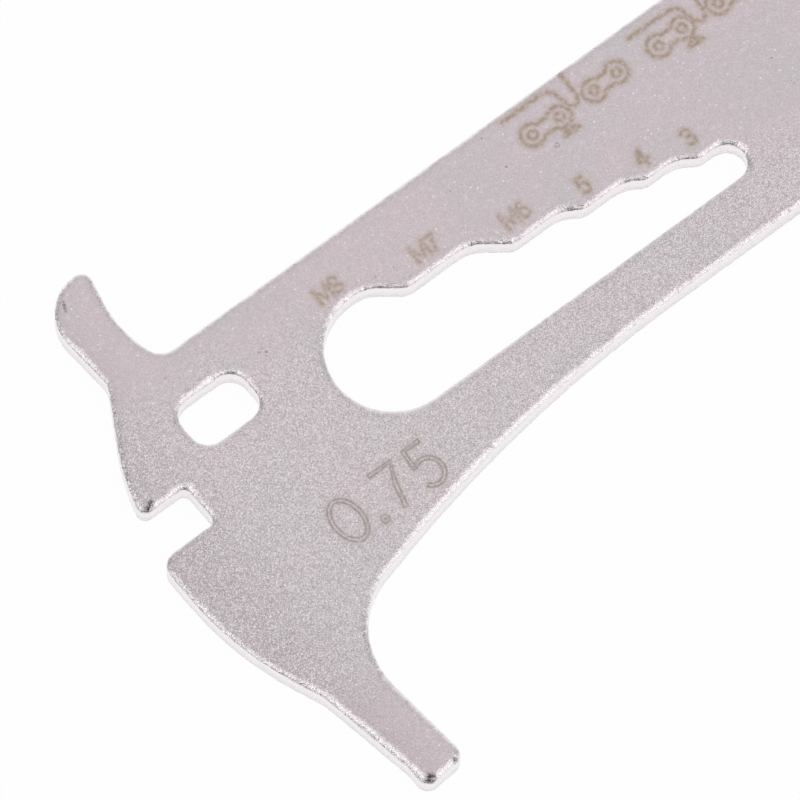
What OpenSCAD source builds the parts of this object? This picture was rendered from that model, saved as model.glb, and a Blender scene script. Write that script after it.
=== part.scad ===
// Flat stamped gauge for a roller chain. Two prongs drop between the rollers, a hook at the
// head holds a chain's end, and a stepped slot tells a bolt's size by where the bolt stops.
// The plate lies on its back with its marked face up. +X runs along the strip to the far
// tooth and +Y runs to the strip's straight upper edge. The origin is under the middle of it.

/* [Sheet] */
// Thickness of the sheet
sheet_t = 1.7; // [1.5:0.05:2.2]
// Radius that tumbling leaves along every edge
edge_r = 0.25; // [0.1:0.05:0.4]

/* [Chain] */
// Pitch of the chain
pitch = 12.7; // [12.6:0.05:12.8]
// Diameter of the chain's rollers
roller_d = 7.75; // [7.5:0.05:7.95]
// Pitches between the two rollers that the prongs press on
spanned_pitches = 8; // [7:1:10]
// Wear at which the far tooth drops in, in per cent of the chain's length
wear_limit = 0.75; // [0.5:0.05:1]

/* [Strip] */
// Width of the strip where its edges are parallel
strip_w = 16.2; // [15.5:0.1:20]
// Width of the rail between the bolt slot and the strip's lower edge
rail_w = 3.75; // [3:0.05:5]
// Radius of the arch that bends the lower edge towards each prong
arch_r = 95; // [60:5:110]
// Slope at which the arch meets a prong, in degrees
arch_slope = 16; // [12:0.5:18]
// Distance from a prong's root corner to the corner that the arch rounds
arch_run = 17; // [15:0.1:20]
// Radius at the upper corner of the far end
end_r = 3; // [1:0.5:6]

/* [Prongs] */
// Drop from the strip's upper edge to the tips of both prongs
tip_drop = 32.45; // [30:0.05:36]
// Distance from the middle of the M8 opening to the near prong's outer face
near_prong_x = 16.5; // [16:0.05:17]
// Width of the near prong at its tip
near_prong_w = 3.25; // [3:0.1:4]
// How far the near prong's inner face leans back towards its root
near_prong_lean = 0.93; // [0.5:0.01:1.2]
// Width of the far tooth
far_tooth_w = 3.8; // [3:0.1:4.6]
// How much higher the inner corner of each tip stands than the outer one
tip_slant = 0.3; // [0:0.05:0.6]
// Radius of the tips' corners
tip_r = 0.8; // [0.5:0.1:1.2]
// Radius of the fillet inside each prong's root
root_r = 6; // [4:0.5:8]

/* [Head] */
// Distance from the middle of the M8 opening to the head's outermost side
head_x = 20; // [19.6:0.1:21]
// Radius of the head's bowed lower side
bow_r = 22; // [16:1:30]
// Height above the tips of the corner that the bow rounds
bow_h = 14.3; // [13.8:0.1:15]
// Height above the tips of the waist where the bow ends
waist_h = 8.6; // [8:0.1:9]
// How far the waist stands out past the near prong's outer face
waist_out = 1.16; // [0.8:0.02:1.4]
// Radius in the waist
waist_r = 2; // [1:0.5:4]
// Height above the tips where the near prong's outer face turns straight
straight_h = 1.8; // [1.4:0.1:2.6]
// Width of the notch in the head
notch_w = 3; // [2.4:0.1:3.4]
// Distance from the strip's upper edge to the notch's upper side
notch_drop = 7.68; // [7.4:0.02:8]
// Depth of the notch, from the head's outermost side
notch_d = 4.35; // [3.8:0.05:4.8]
// Radius of the notch's inner corners
notch_r = 0.5; // [0.3:0.05:0.8]
// How far the notch's upper lip stands back from its lower lip
lip_step = 0.95; // [0.7:0.05:1.3]
// Radius of the upper lip
upper_lip_r = 0.7; // [0.5:0.05:1]
// Radius of the lower lip
lower_lip_r = 1.1; // [0.6:0.1:1.4]

/* [Hook] */
// Height of the hook above the strip's upper edge
hook_h = 7.6; // [7:0.1:9]
// Distance from the middle of the M8 opening to the hook's outer side
hook_x = 15.6; // [15.3:0.05:15.9]
// Width of the hook at the bend of its inner side
hook_w = 3.25; // [2.9:0.05:3.6]
// Height of that bend above the strip's upper edge
hook_bend_h = 3.35; // [2.8:0.05:4]
// Radius of that bend
hook_bend_r = 7.5; // [5:0.5:9]
// How far the hook's inner side comes forward from the bend to the tip
hook_tip_lean = 0.95; // [0.5:0.05:1.2]
// How far it comes forward from the bend to the root
hook_root_lean = 0.75; // [0.4:0.05:1.2]
// Radius of the tip on the outer side
hook_outer_r = 3.8; // [2:0.1:4]
// Radius of the tip on the inner side
hook_inner_r = 0.9; // [0.6:0.1:1.4]
// Radius of the fillet inside the hook's root
hook_root_r = 1.3; // [0.6:0.1:2.5]

/* [Key window] */
// Length of the window along the strip
window_l = 4.9; // [4:0.1:5.4]
// Width of the window across the strip
window_w = 3.4; // [2.8:0.1:4]
// Radius of the window's corners
window_r = 1.25; // [0.8:0.05:1.4]
// Distance from the middle of the M8 opening to the middle of the window
window_x = 10.86; // [10.5:0.02:11.1]
// Distance from the strip's upper edge to the middle of the window
window_drop = 4.9; // [4.5:0.05:5.4]

/* [Bolt slot] */
// Opening that takes an M8 bolt
gap_m8 = 8.4; // [8.1:0.05:8.6]
// Step that stops an M7 bolt
gap_m7 = 6.75; // [6.5:0.05:6.85]
// Step that stops an M6 bolt
gap_m6 = 5.05; // [5.05:0.05:5.6]
// Step that stops an M5 bolt
gap_m5 = 4.2; // [4.1:0.05:4.6]
// Step that stops an M4 bolt
gap_m4 = 3.4; // [3.1:0.05:3.6]
// Step that stops an M3 bolt, and the width of the slot's round end
gap_m3 = 2.5; // [2.2:0.05:2.7]
// Distance from the middle of the M8 opening to the foot of the M7 step
run_m8 = 3.2; // [3:0.05:3.6]
// Distance from there to the foot of the M6 step
run_m7 = 6.95; // [6.4:0.05:7.4]
// Distance from there to the foot of the M5 step
run_m6 = 4.75; // [4.4:0.05:5.4]
// Distance from there to the foot of the M4 step
run_m5 = 4.2; // [3.8:0.05:4.6]
// Distance from there to the foot of the M3 step
run_m4 = 3.5; // [3.2:0.05:4]
// Distance from there to the end of the slot
run_m3 = 2.4; // [2.2:0.05:3]
// Slope from each step down to the next, in degrees
step_slope = 38; // [34:1:45]
// Radius where a slope leaves the wider step
step_top_r = 2.4; // [1:0.1:3]
// Radius where it meets the narrower one
step_foot_r = 1.2; // [0.6:0.1:2]

/* [Hidden] */

// Largest gap between an arc and the facets that stand for it
arc_error = 0.012;
// Largest turn from one facet of an arc to the next, in degrees
arc_step = 12;
// Facets across each rounded edge
edge_steps = 3;
// How far a cutter runs past the faces of the sheet
cut_past = 1;
// Smallest turn, in degrees, that is still rounded
least_turn = 0.01;

// Radius where the near prong's outer face turns straight
straight_r = 3;
// Height above the strip's upper edge, reach and radius of the shoulder under the hook
shoulder_h = 0.55;
shoulder_in = 0.4;
shoulder_r = 1.5;
// Radius of the long bend in the side above the upper lip, and the place of its corner
flank_r = 18;
flank_h = 2.9;
flank_in = 0.76;

// Heights, with the middle of the M8 opening at zero
slot_low = -gap_m8 / 2;
strip_low = slot_low - rail_w;
strip_top = strip_low + strip_w;
tip_y = strip_top - tip_drop;
hook_top = strip_top + hook_h;
notch_top = strip_top - notch_drop;
notch_low = notch_top - notch_w;
root_y = strip_low - arch_run * tan(arch_slope);

// Places along the strip, with the middle of the M8 opening at zero
near_face = -near_prong_x;
far_face = near_face + spanned_pitches * pitch * (1 + wear_limit / 100) - roller_d;
near_root = near_face + near_prong_w - near_prong_lean;
far_root = far_face - far_tooth_w;
notch_end = notch_d - head_x;
upper_lip = lip_step - head_x;
hook_bend = hook_w - hook_x;

// Corners of the plate, each with the radius of its fillet, anticlockwise
plate_corners = [
    // near prong, and the arch that rises from its root to the strip
    [near_face, tip_y, tip_r],
    [near_face + near_prong_w, tip_y + tip_slant, tip_r],
    [near_root, root_y, root_r],
    [near_root + arch_run, strip_low, arch_r],
    // the same arch down to the far tooth, and the plain far end
    [far_root - arch_run, strip_low, arch_r],
    [far_root, root_y, root_r],
    [far_root, tip_y + tip_slant, tip_r],
    [far_face, tip_y, tip_r],
    [far_face, strip_top, end_r],
    // hook, inner side first
    [hook_bend + hook_root_lean, strip_top, hook_root_r],
    [hook_bend, strip_top + hook_bend_h, hook_bend_r],
    [hook_bend + hook_tip_lean, hook_top, hook_inner_r],
    [-hook_x, hook_top, hook_outer_r],
    [shoulder_in - hook_x, strip_top + shoulder_h, shoulder_r],
    // flank and notch
    [upper_lip + flank_in, notch_top + flank_h, flank_r],
    [upper_lip, notch_top, upper_lip_r],
    [notch_end, notch_top, notch_r],
    [notch_end, notch_low, notch_r],
    [-head_x, notch_low, lower_lip_r],
    // bowed side, down to the waist and the near prong's outer face
    [-head_x, tip_y + bow_h, bow_r],
    [near_face - waist_out, tip_y + waist_h, waist_r],
    [near_face, tip_y + straight_h, straight_r]
];

// Steps of the bolt slot from the widest on, and the place of each one's foot
gaps = [gap_m8, gap_m7, gap_m6, gap_m5, gap_m4, gap_m3];
runs = [run_m8, run_m7, run_m6, run_m5, run_m4, run_m3];
function foot(i) = i == 0 ? 0 : foot(i - 1) + runs[i - 1];
function crest(i) = foot(i) - (gaps[i - 1] - gaps[i]) / tan(step_slope);
slot_end = foot(len(gaps));

// Corners of the bolt slot, anticlockwise: straight rail, round end, steps, M8 opening
slot_corners = concat(
    [
        [-gap_m8 / 2, slot_low, gap_m8 / 2],
        [slot_end, slot_low, gap_m3 / 2],
        [slot_end, slot_low + gap_m3, gap_m3 / 2]
    ],
    [for (i = [len(gaps) - 1:-1:1]) each [
        [foot(i), slot_low + gaps[i], step_foot_r],
        [crest(i), slot_low + gaps[i - 1], step_top_r]
    ]],
    [[-gap_m8 / 2, slot_low + gap_m8, gap_m8 / 2]]
);

// Corners of the key window
window_corners = [for (side = [[-1, -1], [1, -1], [1, 1], [-1, 1]])
    [
        -window_x + side.x * window_l / 2,
        strip_top - window_drop + side.y * window_w / 2,
        window_r
    ]
];

// Unit vector from one point to the next
function heading(a, b) = (b - a) / norm(b - a);

// Turn at the middle one of three points, positive to the left
function turn_at(a, b, c) =
    let (u = heading(a, b), v = heading(b, c))
    atan2(u.x * v.y - u.y * v.x, u * v);

// Points along the fillet at one corner, each with its outward direction
function fillet(before, corner, turn, setback) =
    let (
        u = heading(before, corner),
        side = sign(turn),
        r = setback / tan(abs(turn) / 2),
        start = corner - setback * u,
        centre = start + side * r * [-u.y, u.x],
        steps = ceil(abs(turn) / min(arc_step, 2 * acos(1 - arc_error / r))),
        from = atan2(start.y - centre.y, start.x - centre.x)
    )
    [for (k = [0:steps])
        let (a = from + turn * k / steps, out = [cos(a), sin(a)])
        [centre + r * out, side * out]];

// Outline with those corners as a list of [point, outward direction]. Where two fillets
// share a side that is too short for both, each gives way in proportion.
function rounded(corners) =
    let (
        n = len(corners),
        at = [for (c = corners) [c.x, c.y]],
        last = [for (i = [0:n - 1]) (i + n - 1) % n],
        next = [for (i = [0:n - 1]) (i + 1) % n],
        turns = [for (i = [0:n - 1]) turn_at(at[last[i]], at[i], at[next[i]])],
        wanted = [for (i = [0:n - 1]) corners[i].z * tan(abs(turns[i]) / 2)],
        room = [for (i = [0:n - 1]) norm(at[next[i]] - at[i]) / (wanted[i] + wanted[next[i]])],
        setbacks = [for (i = [0:n - 1]) wanted[i] * min(1, room[i], room[last[i]])],
        path = [for (i = [0:n - 1]) each abs(turns[i]) < least_turn
            ? [] : fillet(at[last[i]], at[i], turns[i], setbacks[i])],
        ends = len(path)
    )
    [for (i = [0:ends - 1])
        if (norm(path[i][0] - path[(i + ends - 1) % ends][0]) > arc_error) path[i]];

// Levels of a solid with rounded rims, as [growth of its outline, height]. The rims are
// drawn in with flare = -1 and spread out with flare = 1.
function rim_levels(flare) =
    let (rim = [for (k = [0:edge_steps])
        let (a = 90 * k / edge_steps)
        [flare * edge_r * (1 - sin(a)), edge_r * (1 - cos(a))]])
    concat(rim, [for (k = [edge_steps:-1:0]) [rim[k][0], sheet_t - rim[k][1]]]);

// Twice the area of a triangle, positive where its corners run anticlockwise
function wedge(a, b, c) = (b.x - a.x) * (c.y - a.y) - (b.y - a.y) * (c.x - a.x);

// Whether one corner of a ring can be cut off with no other corner inside the cut
function is_ear(at, ring, a, b, c) =
    wedge(at[a], at[b], at[c]) > 0
    && len([for (k = ring)
        if (k != a && k != b && k != c
            && wedge(at[a], at[b], at[k]) >= 0
            && wedge(at[b], at[c], at[k]) >= 0
            && wedge(at[c], at[a], at[k]) >= 0) k]) == 0;

// Triangles that fill an anticlockwise ring of points, cut off one corner at a time
function ears(at, ring, i = 1, found = []) =
    let (n = len(ring), a = ring[(i + n - 1) % n], b = ring[i % n], c = ring[(i + 1) % n])
    n < 4 ? concat(found, [ring])
    : is_ear(at, ring, a, b, c)
        ? ears(at, [for (k = ring) if (k != b) k], i % n + 1, concat(found, [[a, b, c]]))
        : ears(at, ring, i % n + 1, found);

// Solid through copies of one outline, one for each level, with its ends filled
module loft(outline, levels) {
    n = len(outline);
    top = len(levels) - 1;
    rings = [for (level = levels) [for (p = outline) p[0] + level[0] * p[1]]];
    points = [for (j = [0:top], p = rings[j]) [p.x, p.y, levels[j][1]]];
    walls = [for (j = [0:top - 1], i = [0:n - 1])
        [j * n + i, (j + 1) * n + i, (j + 1) * n + (i + 1) % n, j * n + (i + 1) % n]];
    ends = ears(rings[0], [for (i = [0:n - 1]) i]);
    under = [for (t = ends) [t[0], t[1], t[2]]];
    over = [for (t = ends) [for (k = [2:-1:0]) top * n + t[k]]];
    polyhedron(points, concat(under, walls, over));
}

// Sheet of the given outline with its edges rounded
module sheet(corners) {
    loft(rounded(corners), rim_levels(-1));
}

// Cutter that leaves an opening with rounded edges
module opening(corners) {
    loft(rounded(corners), concat(
        [[edge_r, -cut_past]],
        rim_levels(1),
        [[edge_r, sheet_t + cut_past]]
    ));
}

// The stamped plate, one piece of sheet steel, centred on its own length and height
module gauge_plate() {
    x = [for (p = rounded(plate_corners)) p[0].x];
    y = [for (p = rounded(plate_corners)) p[0].y];
    color("silver")
    translate([-(min(x) + max(x)) / 2, -(min(y) + max(y)) / 2, 0])
    difference() {
        sheet(plate_corners);
        opening(slot_corners);
        opening(window_corners);
    }
}

gauge_plate();
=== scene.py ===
import math
from functools import partial

import bmesh
import bpy
import numpy as np
from mathutils import Matrix, Vector, geometry, kdtree, noise


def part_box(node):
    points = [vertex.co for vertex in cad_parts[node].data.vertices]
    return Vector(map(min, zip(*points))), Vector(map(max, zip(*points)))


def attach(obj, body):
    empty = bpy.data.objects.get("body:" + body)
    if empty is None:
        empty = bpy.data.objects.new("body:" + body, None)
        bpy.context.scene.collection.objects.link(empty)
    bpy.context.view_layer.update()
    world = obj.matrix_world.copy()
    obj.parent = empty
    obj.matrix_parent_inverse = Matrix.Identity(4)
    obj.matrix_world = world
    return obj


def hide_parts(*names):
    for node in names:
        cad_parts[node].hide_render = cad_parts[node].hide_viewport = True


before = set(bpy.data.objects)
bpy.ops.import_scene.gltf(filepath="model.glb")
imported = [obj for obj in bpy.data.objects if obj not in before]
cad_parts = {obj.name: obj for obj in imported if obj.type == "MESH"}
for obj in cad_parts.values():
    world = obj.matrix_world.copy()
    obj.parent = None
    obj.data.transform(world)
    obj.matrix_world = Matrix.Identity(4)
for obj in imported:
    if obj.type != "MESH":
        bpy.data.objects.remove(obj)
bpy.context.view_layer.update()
mm = 0.001

# The plate's own drawing starts from the middle of the M8 opening, as its marks do
plateDrawing = {
    "headX": 20.0,      # from there to the head's outermost side, mm
    "hookTop": 15.85,   # from there up to the hook's top, mm
}
boxLow, boxHigh = (Vector(corner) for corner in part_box("gauge_plate"))
sheet = boxHigh.z / mm
shiftX = boxLow.x / mm + plateDrawing["headX"]
shiftY = boxHigh.y / mm - plateDrawing["hookTop"]


def toRow(points):
    # from the drawing's millimetres to the row frame's millimetres
    return np.asarray(points, float) + (shiftX, shiftY)


def srgb(hexValue):
    # linear colour of an sRGB hex value
    parts = [int(hexValue[i:i + 2], 16) / 255 for i in (0, 2, 4)]
    return [c / 12.92 if c < 0.04045 else ((c + 0.055) / 1.055) ** 2.4 for c in parts] + [1.0]


def addNode(tree, kind, settings=None, values=None, links=None):
    # one node with its settings, its fixed input values and the sockets that feed it
    node = tree.nodes.new(kind)
    for name, value in (settings or {}).items():
        setattr(node, name, value)
    for key, value in (values or {}).items():
        node.inputs[key].default_value = value
    for key, socket in (links or {}).items():
        tree.links.new(socket, node.inputs[key])
    return node


def maths(tree, operation, a, b):
    # one maths node, where each side is a socket or a plain number
    node = addNode(tree, "ShaderNodeMath", {"operation": operation})
    for k, value in enumerate((a, b)):
        if isinstance(value, (int, float)):
            node.inputs[k].default_value = value
        else:
            tree.links.new(value, node.inputs[k])
    return node.outputs[0]


def fade(tree, socket, low, high, toLow=0.0, toHigh=1.0):
    # a smooth step from one value to the other while the socket goes from low to high
    return addNode(tree, "ShaderNodeMapRange", {"interpolation_type": "SMOOTHSTEP"},
                   {"From Min": low, "From Max": high, "To Min": toLow, "To Max": toHigh},
                   {"Value": socket}).outputs[0]


cameraView = {
    "tilt": 24.0,            # degrees between the view and the plate's normal
    "turn": 38.31,           # degrees from the picture's level to the strip
    "pictureSide": 800,      # pixels
    "pixelsPerMm": 16.39,
    "focalPixels": 20000.0,  # a long lens, so the far edges stay parallel
    "sensorWidth": 36,       # mm
    "originPixel": (392.8, 346.6),  # where the middle of the M8 opening lies
}


def makeCamera():
    tilt, turn = (math.radians(cameraView[k]) for k in ("tilt", "turn"))
    along = Vector((math.sin(turn), math.cos(turn), 0))
    right = Vector((math.cos(turn), -math.sin(turn), 0))
    up = math.cos(tilt) * along + Vector((0, 0, math.sin(tilt)))
    back = -math.sin(tilt) * along + Vector((0, 0, math.cos(tilt)))
    scale, half = cameraView["pixelsPerMm"], cameraView["pictureSide"] / 2
    column, row = cameraView["originPixel"]
    aim = Vector((*toRow((0, 0)), sheet))
    aim -= right * (column - half) / scale
    aim -= up * (half - row) / scale
    spot = (aim + back * cameraView["focalPixels"] / scale) * mm
    data = bpy.data.cameras.new("gaugeCamera")
    data.sensor_width = cameraView["sensorWidth"]
    data.lens = cameraView["focalPixels"] * data.sensor_width / cameraView["pictureSide"]
    data.clip_start, data.clip_end = 0.01, 20
    camera = bpy.data.objects.new("gaugeCamera", data)
    facing = Matrix((right, up, back)).transposed().to_4x4()
    camera.matrix_world = Matrix.Translation(spot) @ facing
    bpy.context.collection.objects.link(camera)
    bpy.context.scene.camera = camera


makeCamera()
print("camera placed")

plateMesh = {
    "edgeRadius": 0.25,     # rounding along every edge, as in the solid, mm
    # the rounding's section in radii: how far in from the outline, how far below the face
    "edgeSection": [(1.65, 0.0), (1.3, 0.055), (1.0, 0.155), (0.7, 0.3), (0.42, 0.47),
                    (0.2, 0.66), (0.06, 0.85), (0.0, 1.0)],
    "edgeWobble": 0.42,     # how much tumbling varies that rounding, as a share
    "wobbles": [(0.55, 3.1, 0.6), (2.6, 7.7, 0.5)],  # its two noises: per mm, layer, share
    "outlineStep": 0.16,    # longest stretch of outline between two points, mm
    "faceStep": 1.4,        # spacing of points on the plain face, mm
    "markStep": 0.075,      # spacing of points under the marks, mm
    "rimRows": (0.16, 0.4, 0.8),  # rows of points that follow the rim, mm
    "faceClear": 1.1,       # from the rim to the plain face's points, mm
    "markClear": 0.1,       # from the rim to the points under the marks, mm
    "zoneClear": 0.04,      # from those to the others, mm
    "rowShare": 0.866,      # how far apart the rows of a grid are, as a share of its spacing
    "weld": 2e-6,           # corners of the solid this near are one, m
    "level": 2e-5,          # an edge this near the wall's foot counts as on it, m
}


def wallLoops(node):
    # the outline and the openings where the walls are upright, read off the solid
    bm = bmesh.new()
    bm.from_mesh(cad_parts[node].data)
    bmesh.ops.remove_doubles(bm, verts=bm.verts, dist=plateMesh["weld"])
    height = plateMesh["edgeRadius"] * mm
    after = {}
    for edge in bm.edges:
        if all(abs(v.co.z - height) < plateMesh["level"] for v in edge.verts):
            for v, other in (edge.verts, reversed(edge.verts)):
                after.setdefault(v.index, []).append(other.index)
    bm.verts.ensure_lookup_table()
    loops, left = [], set(after)
    while left:
        first = here = min(left)
        last, loop = None, []
        while True:
            loop.append(bm.verts[here].co.xy / mm)
            left.discard(here)
            ahead = [k for k in after[here] if k != last]
            last, here = here, ahead[0]
            if here == first:
                break
        loops.append(np.array([(p.x, p.y) for p in loop]))
    bm.free()
    # the outline first and anticlockwise, the openings after it and clockwise
    loops.sort(key=lambda p: -abs(signedArea(p)))
    return [p if (signedArea(p) > 0) == (k == 0) else p[::-1] for k, p in enumerate(loops)]


def signedArea(p):
    # above zero where the loop runs anticlockwise
    q = np.roll(p, -1, axis=0)
    return 0.5 * float(np.sum(p[:, 0] * q[:, 1] - p[:, 1] * q[:, 0]))


def denseLoop(loop):
    # points no further apart than the outline step, each with its outward direction
    step = plateMesh["outlineStep"]
    ahead = np.roll(loop, -1, axis=0) - loop
    length = np.linalg.norm(ahead, axis=1)
    out = np.stack([ahead[:, 1], -ahead[:, 0]], 1) / length[:, None]
    corner = out + np.roll(out, 1, axis=0)
    corner /= np.linalg.norm(corner, axis=1)[:, None]
    points, normals = [], []
    for k in range(len(loop)):
        count = max(1, math.ceil(length[k] / step))
        for j in range(count):
            points.append(loop[k] + ahead[k] * j / count)
            normals.append(out[k] if j else corner[k])
    return np.array(points), np.array(normals)


# where the upper edge is rounder than elsewhere, in the drawing's millimetres: place,
# reach and extra radius; tips and the prong wore most, and the last ones are dents
softSpots = [(-18.2, 0.9, 0.6, 0.16), (-15.9, 0.34, 0.6, 0.14), (-15.5, -20.0, 5.0, 0.1),
             (-16.3, -24.2, 1.4, 0.12), (-1.0, -10.0, 9.0, 0.1), (-14.03, 14.63, 0.4, 0.12),
             (0.81, -9.01, 0.16, 0.16), (8.64, -7.97, 0.14, 0.14), (-7.97, -10.79, 0.15, 0.12),
             (18.15, 0.0, 0.14, 0.14)]


def localRadius(points, side):
    # the rounding's radius wanders a little along the edge and has small dents
    # side 1 is the back's edge and side 2 the face's
    radius = []
    for x, y in points:
        wander = sum(share * noise.noise(Vector((x * fine, y * fine, layer * side)))
                     for fine, layer, share in plateMesh["wobbles"])
        radius.append(plateMesh["edgeRadius"] * (1.0 + plateMesh["edgeWobble"] * wander))
    radius = np.array(radius)
    if side == 2:
        for x, y, reach, extra in softSpots:
            away = np.linalg.norm(points - toRow((x, y)), axis=1)
            radius += extra * np.exp(-(away / reach) ** 2)
    return radius


def insideLoops(points, loops):
    # even-odd test against every loop, a slice of the points at a time
    inside, count = np.zeros(len(points), bool), 4000
    for at in range(0, len(points), count):
        x, y = points[at:at + count, 0][:, None], points[at:at + count, 1][:, None]
        hits = np.zeros(len(x), int)
        for p in loops:
            q = np.roll(p, -1, axis=0)
            above = (p[:, 1] > y) != (q[:, 1] > y)
            rise = np.where(q[:, 1] == p[:, 1], 1e-12, q[:, 1] - p[:, 1])
            hits += (above & (x < (q[:, 0] - p[:, 0]) * (y - p[:, 1]) / rise + p[:, 0])).sum(1)
        inside[at:at + count] = hits % 2 == 1
    return inside


def hexGrid(low, high, step):
    # a grid of points whose every other row is set over by half a step
    rows = np.arange(low[1], high[1], step * plateMesh["rowShare"])
    columns = np.arange(low[0], high[0], step)
    x, y = np.meshgrid(columns, rows)
    x[1::2] += step / 2
    return np.stack([x.ravel(), y.ravel()], 1)


def rimTree(rings):
    # finds the rim point nearest to any other
    tree = kdtree.KDTree(sum(len(r) for r in rings))
    for k, (x, y) in enumerate(np.concatenate(rings)):
        tree.insert((x, y, 0), k)
    tree.balance()
    return tree


def fillPoints(rings, zones, detail):
    # points inside the face: rows beside the rim, a plain grid, and fine ones under marks
    tree = rimTree(rings)

    def gap(p):
        return tree.find((p[0], p[1], 0))[2]

    chosen = []
    rows = plateMesh["rimRows"] if detail else ()
    for k, row in enumerate(rows):
        for ring in rings:
            ahead = np.roll(ring, -1, axis=0) - np.roll(ring, 1, axis=0)
            length = np.linalg.norm(ahead, axis=1)[:, None]
            inward = np.stack([-ahead[:, 1], ahead[:, 0]], 1) / np.maximum(length, 1e-9)
            # the further in, the fewer, and none that has come near another stretch of rim
            chosen += [p for p in (ring + inward * row)[::k + 1] if gap(p) > row * 0.85]
    near = np.concatenate(rings)
    plain = hexGrid(near.min(0), near.max(0), plateMesh["faceStep"])
    chosen += [p for p in plain if gap(p) > plateMesh["faceClear"]]
    kept = np.array(chosen)
    if detail:
        clear = plateMesh["zoneClear"]
        for low, high in zones:
            out = np.any((kept < np.array(low) - clear) | (kept > np.array(high) + clear), axis=1)
            kept = kept[out]
        fine = [hexGrid(low, high, plateMesh["markStep"]) for low, high in zones]
        fine = np.concatenate(fine)
        kept = np.concatenate([kept, fine[[gap(p) > plateMesh["markClear"] for p in fine]]])
    return kept[insideLoops(kept, rings)]


def capFaces(rings, zones, detail):
    # triangles that fill the face between its rim points
    extra = fillPoints(rings, zones, detail)
    rim = np.concatenate(rings)
    edges, at = [], 0
    for ring in rings:
        edges += [(at + k, at + (k + 1) % len(ring)) for k in range(len(ring))]
        at += len(ring)
    every = [Vector(p) for p in np.concatenate([rim, extra])]
    points, _, faces, origin, _, _ = geometry.delaunay_2d_cdt(every, edges, [], 1, 1e-7)
    source = [o[0] if o else -1 for o in origin]
    flat = np.array([(p.x, p.y) for p in points])
    faces = np.array(faces)
    faces = faces[insideLoops(flat[faces].mean(axis=1), rings)]
    return flat.tolist(), faces.tolist(), source, len(rim)


def makePlate(name, zones):
    # stacks the walls and their roundings ring by ring, then closes the back and the face
    loops = [denseLoop(loop) for loop in wallLoops("gauge_plate")]
    section = plateMesh["edgeSection"]
    verts, faces, rings = [], [], {}
    for part, (points, normals) in enumerate(loops):
        low, high = localRadius(points, 1), localRadius(points, 2)
        levels = [(low, step, False) for step in section]
        levels += [(high, step, True) for step in section[::-1]]
        first = len(verts)
        for radius, (inward, below), upper in levels:
            flat = points - normals * (radius * inward)[:, None]
            z = sheet - radius * below if upper else radius * below
            verts += [(x, y, h) for (x, y), h in zip(flat, z)]
        count = len(points)
        for level in range(len(levels) - 1):
            base = first + level * count
            after = base + count
            faces += [(base + k, base + (k + 1) % count, after + (k + 1) % count, after + k)
                      for k in range(count)]
        rings[part] = (first, first + (len(levels) - 1) * count, count)
    for upper in (False, True):
        ids, outlines = [], []
        for part in sorted(rings):
            start = rings[part][1 if upper else 0]
            ring = range(start, start + rings[part][2])
            ids += ring
            outlines.append(np.array([verts[i][:2] for i in ring]))
        points, triangles, source, rimCount = capFaces(outlines, zones, upper)
        place = []
        for k, (x, y) in enumerate(points):
            if 0 <= source[k] < rimCount:
                place.append(ids[source[k]])
            else:
                place.append(len(verts))
                verts.append((x, y, sheet if upper else 0.0))
        for tri in triangles:
            corners = [place[k] for k in tri]
            faces.append(corners if upper else corners[::-1])
    mesh = bpy.data.meshes.new(name)
    mesh.from_pydata([(x * mm, y * mm, z * mm) for x, y, z in verts], [], faces)
    mesh.validate()
    mesh.polygons.foreach_set("use_smooth", [True] * len(mesh.polygons))
    plate = bpy.data.objects.new(name, mesh)
    bpy.context.collection.objects.link(plate)
    topRim = [[verts[i] for i in range(start, start + count)]
              for _, start, count in (rings[part] for part in sorted(rings))]
    return plate, topRim


markSet = {
    "sizeHeight": 1.08,      # height of the bolt size marks, mm
    "limitHeight": 3.0,      # height of the wear limit mark, mm
    "limitLine": 0.24,       # width of its double stroke, mm
    "spacing": 0.13,         # between two characters, as a share of their height
    "limitSpacing": 0.24,    # the same in the wear limit mark
    "linkRadius": 0.76,      # radius of a drawn chain link's round ends, mm
    "lineWidth": 0.16,       # width of a laser line, mm
    "fineWidth": 0.075,      # width of the lines of the large mark, mm
    "haloWidth": 0.5,        # reach of the tan halo around a line, mm
    "fineHalo": 0.4,         # how strong it is round the large mark
    "zoneMargin": 0.1,       # how far fine points go past a halo, mm
}


def arcPoints(cx, cy, rx, ry, start, end, count=14):
    # points along an arc of an ellipse, its ends in degrees
    turns = [math.radians(start + (end - start) * k / count) for k in range(count + 1)]
    return [(cx + rx * math.cos(turn), cy + ry * math.sin(turn)) for turn in turns]


# single-line shapes on a unit height, with each one's width
glyphs = {
    "M": (0.9, [[(0, 0), (0.03, 1), (0.45, 0.12), (0.87, 1), (0.9, 0)]]),
    "8": (0.56, [arcPoints(0.28, 0.74, 0.22, 0.26, 0, 360),
                 arcPoints(0.28, 0.25, 0.27, 0.25, 0, 360)]),
    "7": (0.56, [[(0, 1), (0.56, 1), (0.34, 0.55), (0.2, 0)]]),
    "6": (0.56, [arcPoints(0.28, 0.3, 0.27, 0.3, 0, 360),
                 arcPoints(0.52, 0.3, 0.52, 0.72, 180, 108)]),
    "5": (0.56, [[(0.5, 1), (0.1, 1), (0.05, 0.55)] +
                 arcPoints(0.26, 0.32, 0.29, 0.32, 128, -140)]),
    "4": (0.58, [[(0.42, 0), (0.42, 1), (0, 0.3), (0.58, 0.3)]]),
    "3": (0.54, [arcPoints(0.25, 0.76, 0.24, 0.24, 150, -90),
                 arcPoints(0.25, 0.26, 0.28, 0.26, 90, -150)]),
    "0": (0.62, [arcPoints(0.31, 0.5, 0.31, 0.5, 0, 360, 28)]),
    ".": (0.12, [arcPoints(0.06, 0.06, 0.06, 0.06, 0, 360, 6)]),
}


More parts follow.
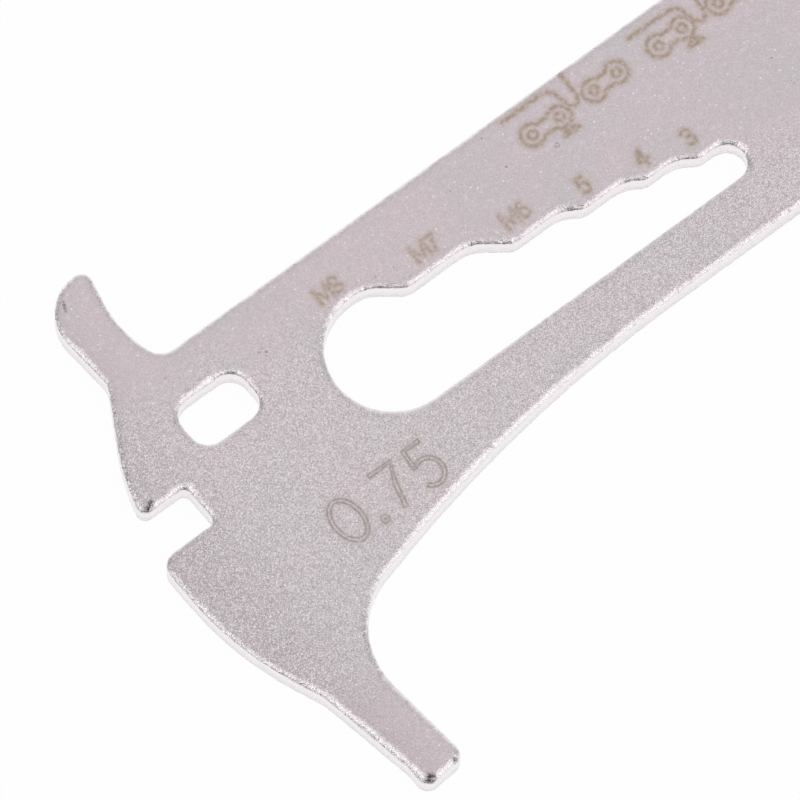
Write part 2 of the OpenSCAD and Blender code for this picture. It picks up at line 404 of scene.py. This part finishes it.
def textStrokes(text, centre, height, spacing):
    # the lines of a short text round its middle
    width = sum(glyphs[c][0] for c in text) + spacing * (len(text) - 1)
    x, strokes = centre[0] - width * height / 2, []
    for c in text:
        strokes += [[(x + px * height, centre[1] + (py - 0.5) * height) for px, py in line]
                    for line in glyphs[c][1]]
        x += (glyphs[c][0] + spacing) * height
    return strokes


def doubled(line, width):
    # the two sides of a wide stroke, joined at its ends
    p = np.array(line, float)
    closed = np.allclose(p[0], p[-1], atol=1e-6)
    ahead = np.gradient(p, axis=0)
    if closed:
        ahead[0] = ahead[-1] = p[1] - p[-2]
    side = np.stack([-ahead[:, 1], ahead[:, 0]], 1)
    side *= width / 2 / np.linalg.norm(side, axis=1)[:, None]
    if closed:
        return [[tuple(q) for q in p + side], [tuple(q) for q in p - side]]
    both = [tuple(q) for q in p + side] + [tuple(q) for q in (p - side)[::-1]]
    return [both + both[:1]]


# a drawn link's form, as shares of its round ends' radius
linkForm = {
    "waist": 0.62,             # half its height in the middle
    "bulge": 0.14,             # how fast the waist widens from there
    "waistEnd": 0.022,         # how much wider it is where it meets the shoulders
    "waistReach": 0.4,         # where that is, as a share of the way to a round end
    "shoulder": (0.67, 0.74),  # where the shoulders leave the round ends
    "pin": 0.36,
}


def linkStrokes(left, right, radius):
    # a chain link seen from the side: two round ends, a waist and two pins
    (ax, ay), (bx, by) = left, right
    middle = ((ax + bx) / 2, (ay + by) / 2)
    reach = (bx - ax) / 2
    waist, pin, end = radius * linkForm["waist"], radius * linkForm["pin"], linkForm["waistReach"]
    across, up = linkForm["shoulder"]
    strokes = [arcPoints(ax, ay, radius, radius, 48, 312, 18),
               arcPoints(bx, by, radius, radius, 132, -132, 18)]
    for side in (1, -1):
        strokes.append([(middle[0] + reach * t,
                         middle[1] + side * (waist + radius * linkForm["bulge"] * t * t))
                        for t in (-end, -end / 2, 0, end / 2, end)])
        foot = middle[1] + side * (waist + radius * linkForm["waistEnd"])
        strokes.append([(ax + radius * across, ay + side * radius * up),
                        (middle[0] - reach * end, foot)])
        strokes.append([(bx - radius * across, by + side * radius * up),
                        (middle[0] + reach * end, foot)])
    return strokes + [arcPoints(x, y, pin, pin, 0, 360, 12) for x, y in (left, right)]


# what is marked and where, in the drawing's millimetres; a zone is the box that gets fine points
sizeMarks = [("M8", (-0.76, 5.43)), ("M7", (5.64, 3.96)), ("M6", (11.34, 2.29)),
             ("5", (15.86, 1.29)), ("4", (19.78, 0.51)), ("3", (22.93, -0.17))]
sizeZones = {1: (0.45, 0.72), 2: (1.25, 0.72)}  # half its width and height, by character count
limitMark, limitZone = ("0.75", (-6.35, -7.4)), (5.0, 2.1)
chainDrawings = [
    {"gauge": [(14.55, 7.66), (17.6, 7.66), (18.05, 7.55), (18.33, 7.2), (18.42, 6.5),
               (18.58, 6.05), (18.86, 5.8), (19.15, 5.9), (19.33, 6.3), (19.38, 7.2), (19.4, 8.2)],
     "links": [((15.54, 5.84), (17.57, 5.77)), ((20.37, 5.87), (22.2, 5.97))],
     "arrow": (17.62, 4.72), "zone": ((14.0, 3.9), (23.5, 8.3))},
    {"gauge": [(24.2, 7.3), (27.3, 7.26), (27.75, 7.12), (27.98, 6.8), (28.05, 6.2),
               (28.22, 5.72), (28.58, 5.42), (28.9, 5.6), (29.07, 6.1), (29.12, 7.0),
               (29.14, 7.95)],
     "links": [((25.37, 5.77), (27.24, 5.82)), ((30.04, 5.77), (31.9, 5.8))],
     "arrow": (27.3, 4.66), "zone": ((23.7, 3.9), (33.2, 8.1))},
]
# an arrow's lines from its own place: the roof, its foot and a short bar
arrowForm = [[(-0.55, -0.2), (-0.05, 0.32), (0.55, -0.2)], [(-0.38, -0.2), (0.4, -0.2)],
             [(-0.2, -0.02), (0.2, -0.02)]]


def allStrokes():
    # every laser line in the row frame's millimetres, the wide ones and the fine ones
    lines, fineLines = [], []
    for text, centre in sizeMarks:
        lines += textStrokes(text, centre, markSet["sizeHeight"], markSet["spacing"])
    for line in textStrokes(*limitMark, markSet["limitHeight"], markSet["limitSpacing"]):
        fineLines += doubled(line, markSet["limitLine"])
    for drawing in chainDrawings:
        lines.append(drawing["gauge"])
        for left, right in drawing["links"]:
            lines += linkStrokes(left, right, markSet["linkRadius"])
        x, y = drawing["arrow"]
        lines += [[(x + px, y + py) for px, py in line] for line in arrowForm]
    return [toRow(line) for line in lines], [toRow(line) for line in fineLines]


def markZones():
    # boxes round the marks that need fine points, in the row frame's millimetres
    zones = []
    reach = markSet["haloWidth"] + markSet["zoneMargin"]
    for text, (x, y) in sizeMarks:
        wide, tall = sizeZones[len(text)]
        wide += reach
        zones.append(((x - wide, y - tall - reach), (x + wide, y + tall + reach)))
    (x, y), (wide, tall) = limitMark[1], limitZone
    zones.append(((x - wide, y - tall), (x + wide, y + tall)))
    zones += [drawing["zone"] for drawing in chainDrawings]
    return [(toRow(low), toRow(high)) for low, high in zones]


def guideObject(name, lines, height, closed=False):
    # bare edges for the mark tree to measure from
    verts, edges = [], []
    for line in lines:
        at = len(verts)
        verts += [(p[0] * mm, p[1] * mm, height * mm) for p in line]
        edges += [(at + k, at + k + 1) for k in range(len(line) - 1)]
        if closed:
            edges.append((at + len(line) - 1, at))
    mesh = bpy.data.meshes.new(name)
    mesh.from_pydata(verts, edges, [])
    guide = bpy.data.objects.new(name, mesh)
    bpy.context.collection.objects.link(guide)
    return guide


def markTree():
    # stores on each point how deep it lies in a line or its halo, and how far it is from the rim
    tree = bpy.data.node_groups.new("laserMarks", "GeometryNodeTree")
    face = tree.interface
    face.new_socket("Geometry", in_out="INPUT", socket_type="NodeSocketGeometry")
    for name in ("Lines", "Fine Lines", "Rim"):
        face.new_socket(name, in_out="INPUT", socket_type="NodeSocketObject")
    for name in ("Line Width", "Fine Width", "Halo Width"):
        face.new_socket(name, in_out="INPUT", socket_type="NodeSocketFloat")
    face.new_socket("Material", in_out="INPUT", socket_type="NodeSocketMaterial")
    face.new_socket("Geometry", in_out="OUTPUT", socket_type="NodeSocketGeometry")
    given = addNode(tree, "NodeGroupInput")

    def gapTo(guide):
        info = addNode(tree, "GeometryNodeObjectInfo", {"transform_space": "ORIGINAL"},
                       links={"Object": given.outputs[guide]})
        return addNode(tree, "GeometryNodeProximity", {"target_element": "EDGES"},
                       links={0: info.outputs["Geometry"]}).outputs["Distance"]

    times = partial(maths, tree, "MULTIPLY")

    def fadeOut(gap, reach, core):
        # 1 on the line, 0 past its reach; core is the share of the reach that stays at 1
        return addNode(tree, "ShaderNodeMapRange", {"interpolation_type": "SMOOTHSTEP"},
                       {"To Min": 1.0, "To Max": 0.0},
                       {"Value": gap, "From Min": times(reach, core), "From Max": reach}).outputs[0]

    wide, fine, haloWidth = gapTo("Lines"), gapTo("Fine Lines"), given.outputs["Halo Width"]
    etch = fadeOut(fine, times(given.outputs["Fine Width"], 1.4), 0.2)
    burn = fadeOut(wide, times(given.outputs["Line Width"], 1.3), 0.1)
    halo = maths(tree, "MAXIMUM", fadeOut(wide, haloWidth, 0.0),
                 times(fadeOut(fine, haloWidth, 0.0), markSet["fineHalo"]))
    flow = given.outputs["Geometry"]
    stored = {"burn": burn, "etch": etch, "halo": halo, "rimGap": gapTo("Rim")}
    for name, socket in stored.items():
        flow = addNode(tree, "GeometryNodeStoreNamedAttribute",
                       {"data_type": "FLOAT", "domain": "POINT"}, {"Name": name},
                       {"Geometry": flow, "Value": socket}).outputs["Geometry"]
    flow = addNode(tree, "GeometryNodeRealizeInstances", links={"Geometry": flow}).outputs[0]
    flow = addNode(tree, "GeometryNodeSetMaterial",
                   links={"Geometry": flow, "Material": given.outputs["Material"]}).outputs[0]
    addNode(tree, "NodeGroupOutput", links={0: flow})
    return tree


def bakeMarks(plate, topRim, material):
    # runs the mark tree on the plate and keeps its result as the plate's mesh
    lines, fineLines = allStrokes()
    guides = {"Lines": guideObject("Lines", lines, sheet),
              "Fine Lines": guideObject("Fine Lines", fineLines, sheet),
              "Rim": guideObject("Rim", topRim, sheet, True)}
    modifier = plate.modifiers.new("laserMarks", "NODES")
    modifier.node_group = markTree()
    sockets = {s.name: s.identifier for s in modifier.node_group.interface.items_tree
               if s.in_out == "INPUT"}
    for name, guide in guides.items():
        modifier[sockets[name]] = guide
    modifier[sockets["Line Width"]] = markSet["lineWidth"] * mm
    modifier[sockets["Fine Width"]] = markSet["fineWidth"] * mm
    modifier[sockets["Halo Width"]] = markSet["haloWidth"] * mm
    modifier[sockets["Material"]] = material
    evaluated = plate.evaluated_get(bpy.context.evaluated_depsgraph_get())
    baked = bpy.data.meshes.new_from_object(evaluated)
    plate.modifiers.clear()
    plate.data = baked
    baked.name = plate.name
    for guide in guides.values():
        bpy.data.objects.remove(guide)


nickelLook = {
    "metal": "e2d3d9",       # nickel with a faint mauve cast
    "neutral": "dcd3d7",     # the greyer of its soft patches
    "outer": "c9bcc0",       # painted shade: the head's outer side made deeper, where its rolled edge reflects darker surroundings
    "grainLow": "a0969a",    # facets of the grain that look away from the light
    "grainHigh": "fffbfb",   # and those that face it
    "paintedGlint": "fdf7f9",       # painted glints: single crystals drawn bright as if catching the light
    "pit": "81787b",         # the few dark specks between them
    "wall": "f8f2f4",        # sheared and tumbled edges are polished brighter
    "burn": "b8a499",        # oxide that the laser leaves in a line
    "etch": "958a8b",        # the greyer groove of its finest lines
    "tan": "d0bdae",         # heat colour around it
    "scarAndDarkReflection": "524749",        # what is left in a prick or a scrape, and the painted dark reflection at the tips
    "faceRough": 0.38,
    "rimRough": 0.12,
    "wallRough": 0.3,
    "burnRough": 0.12,       # what a laser line adds
    "faceBand": (0.002, 0.035),  # depths between which the face turns into the rim, mm
    "polishBand": (0.01, 0.12),  # and the grain into the edge's polish, mm
    "wallBand": (0.2, 0.35),     # and the rim into the wall, mm
    "grainSize": 0.046,      # size of one facet of the tumbled grain, mm
    "dimFacets": 0.6,        # how strongly its darker facets show
    "frostSize": 0.33,       # size of the frosted dots under the grain, mm
    "frostShare": 0.22,      # and how strongly they show
    "sparkSpacing": 0.31,    # mean distance between the painted glints, mm
    "sparkReach": 0.28,      # radius of the largest, as a share of that
    "glintSpacing": 0.17,    # the same two for the smaller ones
    "glintReach": 0.3,
    "pitShare": 0.012,       # share of the specks that are dark
    "pitStrength": 0.6,
    "calmSide": (0.25, 1.0, 3.0, 8.0),  # where the strip is finer: x and y shares, from, to
    "calmWander": 5.0,       # size and depth of the swings of that border, mm
    "calmProng": (-19.0, -14.0),  # down the prong the grain fades between these heights, mm
    "outerSide": (-18.5, -13.0),  # where the painted shade along the head's outer side ends, mm
    "lightMarks": (12.5, 14.0),   # the laser bit less at the marks before this stretch, mm
    "blotchSize": 0.29,      # size of the blotches in the marks, mm
    "dentSize": 0.45,        # size of the largest dents along the edges, mm
    "dentReach": 0.3,        # how far from the rim they reach on the face, mm
    "dentHeight": 4.5,       # heights are in units of the bump's depth
    "ridgeSize": 0.14,       # size of the ripples all over, mm
    "ridgeHeight": 0.5,
    "markDepth": 0.3,        # how far a laser line lies under the face
    "bumpStrength": 0.5,
    "bumpDepth": 0.05,       # mm
}
# small marks of use on the face, and painted dark reflections at the tips, in the drawing's
# millimetres: place, reach, radius where it is a ring, and strength
scarsAndDarkReflections = [(16.29, 4.39, 0.07, 0.13, 0.4), (20.51, -4.36, 0.16, 0, 0.35),
             (12.71, -4.53, 0.14, 0, 0.3), (2.04, 4.33, 0.14, 0, 0.3),
             (-6.62, 4.74, 0.12, 0, 0.65), (-6.28, 4.5, 0.13, 0, 0.65),
             (-6.42, 4.3, 0.1, 0, 0.5), (-6.35, 4.85, 0.09, 0, 0.5),
             (-14.22, 14.22, 0.15, 0, 0.45), (-14.12, 14.42, 0.17, 0, 0.55),
             (-14.03, 14.62, 0.17, 0, 0.6), (-13.96, 14.82, 0.14, 0, 0.45),
             # these last four are no scars but painted dark reflections, at the notch's lip and the
             # prong's corners
             (-18.38, 0.7, 0.4, 0, 1.0), (-18.02, 0.9, 0.34, 0, 0.9),
             (-15.9, -23.86, 0.55, 0, 1.0), (-13.96, -23.9, 0.4, 0, 0.9)]


def nickelPlate():
    # nickel-plated mild steel, barrel-tumbled: a soft satin with a fine sparkling grain
    look = nickelLook
    material = bpy.data.materials.new("tumbledNickel")
    material.use_nodes = True
    tree = material.node_tree
    tree.nodes.clear()
    place = addNode(tree, "ShaderNodeTexCoord").outputs["Object"]
    inMm = addNode(tree, "ShaderNodeMapping", {"vector_type": "POINT"},
                   {"Scale": (1 / mm, 1 / mm, 1 / mm)}, {"Vector": place}).outputs[0]
    across, level, height = addNode(tree, "ShaderNodeSeparateXYZ", links={0: inMm}).outputs
    burn, etch, halo, rimGap = (
        addNode(tree, "ShaderNodeAttribute", {"attribute_name": name}).outputs["Fac"]
        for name in ("burn", "etch", "halo", "rimGap"))
    mapRange, math2 = partial(fade, tree), partial(maths, tree)
    times = partial(math2, "MULTIPLY")

    def mixColour(factor, a, b):
        node = addNode(tree, "ShaderNodeMix", {"data_type": "RGBA"}, links={0: factor})
        for k, value in ((6, a), (7, b)):
            if isinstance(value, str):
                node.inputs[k].default_value = srgb(value)
            else:
                tree.links.new(value, node.inputs[k])
        return node.outputs[2]

    def noiseAt(size, detail=2.0, roughness=0.5):
        return addNode(tree, "ShaderNodeTexNoise", {"noise_dimensions": "3D"},
                       {"Scale": 1 / size, "Detail": detail, "Roughness": roughness},
                       {"Vector": inMm}).outputs["Fac"]

    def cellsAt(size):
        # distance to the nearest cell's middle and two numbers of that cell's own
        cells = addNode(tree, "ShaderNodeTexVoronoi", {"feature": "F1"}, {"Scale": 1 / size},
                        {"Vector": inMm})
        own = addNode(tree, "ShaderNodeSeparateColor", links={0: cells.outputs["Color"]})
        return cells.outputs["Distance"], own.outputs["Red"], own.outputs["Green"]

    def deeper(near, far):
        # 1 where the face and the back are both further away than far, 0 nearer than near
        return times(mapRange(height, near, far),
                     mapRange(height, sheet - far, sheet - near, 1.0, 0.0))

    # which part of the surface this is: face or back, the rounded rim, or the wall
    low, high = look["faceBand"]
    flat = math2("MAXIMUM", mapRange(height, sheet - high, sheet - low),
                 mapRange(height, low, high, 1.0, 0.0))
    inWall = deeper(*look["wallBand"])
    nearRim = mapRange(rimGap, 0.0, look["dentReach"] * mm, 1.0, 0.0)

    # the strip is finer than the head and the lower arm, which tumbled harder
    shareX, shareY, low, high = look["calmSide"]
    along = addNode(tree, "ShaderNodeVectorMath", {"operation": "DOT_PRODUCT"},
                    {1: (shareX, shareY, 0)}, {0: inMm}).outputs["Value"]
    offset = shareX * shiftX + shareY * shiftY
    patchy = math2("ADD", along, times(noiseAt(look["calmWander"]), look["calmWander"]))
    lively = mapRange(patchy, low + offset, high + offset, 1.0, 0.3)
    low, high = look["calmProng"]
    lively = times(lively, mapRange(level, shiftY + low, shiftY + high, 0.4, 1.0))

    # soft clouds of the two plain tones, and painted shade along the outer side
    clouds = mapRange(noiseAt(4.5, 4.0, 0.6), 0.36, 0.66)
    base = mixColour(clouds, look["metal"], look["neutral"])
    low, high = look["outerSide"]
    base = mixColour(mapRange(across, shiftX + low, shiftX + high, 0.7, 0.0), base, look["outer"])
    # soft frosted dots, then the grain's facets over them
    frost = mapRange(noiseAt(look["frostSize"], 2.0, 0.6), 0.5, 0.72)
    base = mixColour(times(frost, look["frostShare"]), base, look["grainHigh"])
    _, facet, _ = cellsAt(look["grainSize"])
    bright = times(mapRange(facet, 0.57, 0.88), lively)
    dim = times(mapRange(facet, 0.5, 0.0), times(lively, look["dimFacets"]))
    base = mixColour(bright, base, look["grainHigh"])
    base = mixColour(dim, base, look["grainLow"])
    # a painted glint shows where its cell's own number is high, and its size follows another
    away, own, size = cellsAt(look["sparkSpacing"])
    inSpeck = mapRange(math2("SUBTRACT", times(size, look["sparkReach"]), away), 0.0, 0.09)
    paintedGlint = times(inSpeck, mapRange(own, 0.1, 0.75))
    base = mixColour(paintedGlint, base, look["paintedGlint"])
    pit = times(inSpeck, math2("LESS_THAN", own, look["pitShare"]))
    base = mixColour(times(pit, look["pitStrength"]), base, look["pit"])
    # and smaller painted glints where the grain is lively
    away, own, size = cellsAt(look["glintSpacing"])
    glint = mapRange(math2("SUBTRACT", times(size, look["glintReach"]), away), 0.0, 0.08)
    glint = times(glint, times(mapRange(own, 0.5, 0.85), lively))
    base = mixColour(glint, base, look["paintedGlint"])
    # the rounding turns from the face's grain to the wall's polish
    base = mixColour(deeper(*look["polishBand"]), base, look["wall"])
    # laser marks: tan heat colour first, then the oxide lines, all blotchy
    low, high = look["lightMarks"]
    bitten = mapRange(across, shiftX + low, shiftX + high, 0.8, 1.0)
    burn, halo = times(burn, bitten), times(halo, bitten)
    blotch = noiseAt(look["blotchSize"], 3.0, 0.7)
    base = mixColour(times(halo, mapRange(blotch, 0.36, 0.62, 0.35, 1.0)), base, look["tan"])
    base = mixColour(times(burn, mapRange(blotch, 0.34, 0.62, 0.2, 0.8)), base, look["burn"])
    base = mixColour(times(etch, mapRange(blotch, 0.34, 0.62, 0.4, 0.72)), base, look["etch"])
    # scars and painted dark reflections, solid in the middle and broken up by a fine noise
    broken = mapRange(noiseAt(0.13, 2.0, 0.6), 0.36, 0.54, 0.3, 1.0)
    for x, y, reach, ring, strength in scarsAndDarkReflections:
        gone = addNode(tree, "ShaderNodeVectorMath", {"operation": "DISTANCE"},
                       {1: (*toRow((x, y)), sheet)}, {0: inMm}).outputs["Value"]
        gone = math2("ABSOLUTE", math2("SUBTRACT", gone, ring), 0.0)
        gone = times(mapRange(gone, reach * 0.35, reach, strength, 0.0), broken)
        base = mixColour(gone, base, look["scarAndDarkReflection"])

    rough = mapRange(flat, 0.0, 1.0, look["rimRough"], look["faceRough"])
    rough = math2("ADD", rough, times(inWall, look["wallRough"] - look["rimRough"]))
    rough = math2("ADD", rough, times(burn, look["burnRough"]))
    # dents swing both ways round the level, so that their fade adds no slope beside an edge
    edge = math2("MAXIMUM", math2("SUBTRACT", 1.0, flat), nearRim)
    dents = math2("SUBTRACT", noiseAt(look["dentSize"], 4.0, 0.72), 0.5)
    dents = times(dents, times(edge, look["dentHeight"]))
    ridge = math2("ADD", times(noiseAt(look["ridgeSize"], 2.0, 0.6), look["ridgeHeight"]),
                  times(math2("MAXIMUM", burn, etch), -look["markDepth"]))
    bump = addNode(tree, "ShaderNodeBump", {},
                   {"Strength": look["bumpStrength"], "Distance": look["bumpDepth"] * mm},
                   {"Height": math2("ADD", ridge, dents)}).outputs["Normal"]
    shader = addNode(tree, "ShaderNodeBsdfPrincipled", {}, {"Metallic": 1.0},
                     {"Base Color": base, "Roughness": rough, "Normal": bump})
    addNode(tree, "ShaderNodeOutputMaterial", links={"Surface": shader.outputs[0]})
    return material


plate, topRim = makePlate("gaugePlate", markZones())
print("plate built:", len(plate.data.polygons), "faces")
bakeMarks(plate, topRim, nickelPlate())
print("marks burned in")
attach(plate, "root")
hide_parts("gauge_plate")

studio = {
    "floorSize": 3.0,        # m
    "floorTone": "f7f6f6",
    "floorWhite": 0.97,      # how far the floor is lifted to white for the camera
    "sky": 0.73,             # brightness of the tent
    "sideBoxes": 0.72,       # how much brighter the boxes left and right of the camera are
    "cameraGap": 0.62,       # how dark the tent's opening round the camera is
    "lowGap": 0.72,          # how dark the strip under the boxes is
    "lowTurn": 60.0,         # degrees from the camera's side leftwards to its middle
    "sideGap": 0.42,         # how dark the tent's two side seams are
    # where the tent's parts fade in, from the first direction to the second: sides run from
    # 1 at the camera's side to -1 opposite it, and heights from 0 level to 1 overhead
    "boxFront": (0.9, 0.76),
    "boxBack": (-0.12, 0.12),
    "boxFoot": (0.4, 0.52),
    "boxTop": (0.93, 0.82),
    "gapSide": (0.8, 0.92),
    "gapTop": (0.84, 0.64),
    "lowSide": (0.1, 0.6),
    "lowTop": (0.4, 0.28),
    "seamBack": (-0.85, -0.65),
    "seamFront": (-0.15, -0.35),
    "seamTop": (0.74, 0.58),
    "lampPower": 0.03,       # W
    "lampSize": 0.35,        # m
    "lampSpot": (0.15, 0.3, 0.55),  # m
}


def makeFloor():
    # pale card, white to the camera and in the metal's reflections
    half = studio["floorSize"] / 2
    mesh = bpy.data.meshes.new("studioFloor")
    mesh.from_pydata([(-half, -half, 0), (half, -half, 0), (half, half, 0), (-half, half, 0)],
                     [], [(0, 1, 2, 3)])
    floor = bpy.data.objects.new("studioFloor", mesh)
    bpy.context.collection.objects.link(floor)
    material = bpy.data.materials.new("paleCard")
    material.use_nodes = True
    tree = material.node_tree
    tree.nodes.clear()
    card = addNode(tree, "ShaderNodeBsdfDiffuse", {}, {"Color": srgb(studio["floorTone"])})
    white = addNode(tree, "ShaderNodeEmission", {}, {"Strength": 1.0})
    path = addNode(tree, "ShaderNodeLightPath")
    seen = maths(tree, "MAXIMUM", path.outputs["Is Camera Ray"], path.outputs["Is Glossy Ray"])
    share = maths(tree, "MULTIPLY", seen, studio["floorWhite"])
    mixed = addNode(tree, "ShaderNodeMixShader",
                    links={0: share, 1: card.outputs[0], 2: white.outputs[0]})
    addNode(tree, "ShaderNodeOutputMaterial", links={"Surface": mixed.outputs[0]})
    mesh.materials.append(material)


def makeLight():
    # a white tent with two brighter boxes and the dark gaps that a tent has
    world = bpy.data.worlds.new("softTent")
    bpy.context.scene.world = world
    world.use_nodes = True
    tree = world.node_tree
    tree.nodes.clear()
    way = addNode(tree, "ShaderNodeTexCoord").outputs["Generated"]
    rise = addNode(tree, "ShaderNodeSeparateXYZ", links={0: way}).outputs["Z"]
    flat = addNode(tree, "ShaderNodeVectorMath", {"operation": "MULTIPLY"}, {1: (1, 1, 0)},
                   {0: way}).outputs[0]
    flat = addNode(tree, "ShaderNodeVectorMath", {"operation": "NORMALIZE"},
                   links={0: flat}).outputs[0]

    def towards(degrees):
        # 1 for light from that side, -1 for light from the other; 0 degrees is the camera's
        turn = math.radians(cameraView["turn"] + degrees)
        return addNode(tree, "ShaderNodeVectorMath", {"operation": "DOT_PRODUCT"},
                       {1: (-math.sin(turn), -math.cos(turn), 0)}, {0: flat}).outputs["Value"]

    def part(strength, **edges):
        # the part of the tent inside all its edges, each a direction and where it fades in
        result = strength
        for name, direction in edges.items():
            result = maths(tree, "MULTIPLY", fade(tree, direction, *studio[name]), result)
        return result

    facing, leftwards = towards(0.0), towards(studio["lowTurn"])
    boxes = part(studio["sideBoxes"], boxFront=facing, boxBack=facing, boxFoot=rise, boxTop=rise)
    dark = part(studio["cameraGap"], gapSide=facing, gapTop=rise)
    for gap in (part(studio["lowGap"], lowSide=leftwards, lowTop=rise),
                part(studio["sideGap"], seamBack=facing, seamFront=facing, seamTop=rise)):
        dark = maths(tree, "MAXIMUM", dark, gap)
    glow = maths(tree, "SUBTRACT", maths(tree, "ADD", boxes, studio["sky"]), dark)
    path = addNode(tree, "ShaderNodeLightPath")
    strength = addNode(tree, "ShaderNodeMix", {"data_type": "FLOAT"}, {3: 1.0},
                       {0: path.outputs["Is Camera Ray"], 2: glow}).outputs[0]
    sky = addNode(tree, "ShaderNodeBackground", {}, {"Color": (1, 1, 1, 1)},
                  {"Strength": strength})
    addNode(tree, "ShaderNodeOutputWorld", links={"Surface": sky.outputs[0]})
    lamp = bpy.data.lights.new("softbox", "AREA")
    lamp.energy = studio["lampPower"]
    lamp.shape = "DISK"
    lamp.size = studio["lampSize"]
    holder = bpy.data.objects.new("softbox", lamp)
    holder.location = studio["lampSpot"]
    holder.rotation_euler = Vector(studio["lampSpot"]).to_track_quat("Z", "Y").to_euler()
    bpy.context.collection.objects.link(holder)


makeFloor()
makeLight()
bpy.context.scene.view_settings.view_transform = "Standard"
print("studio ready")
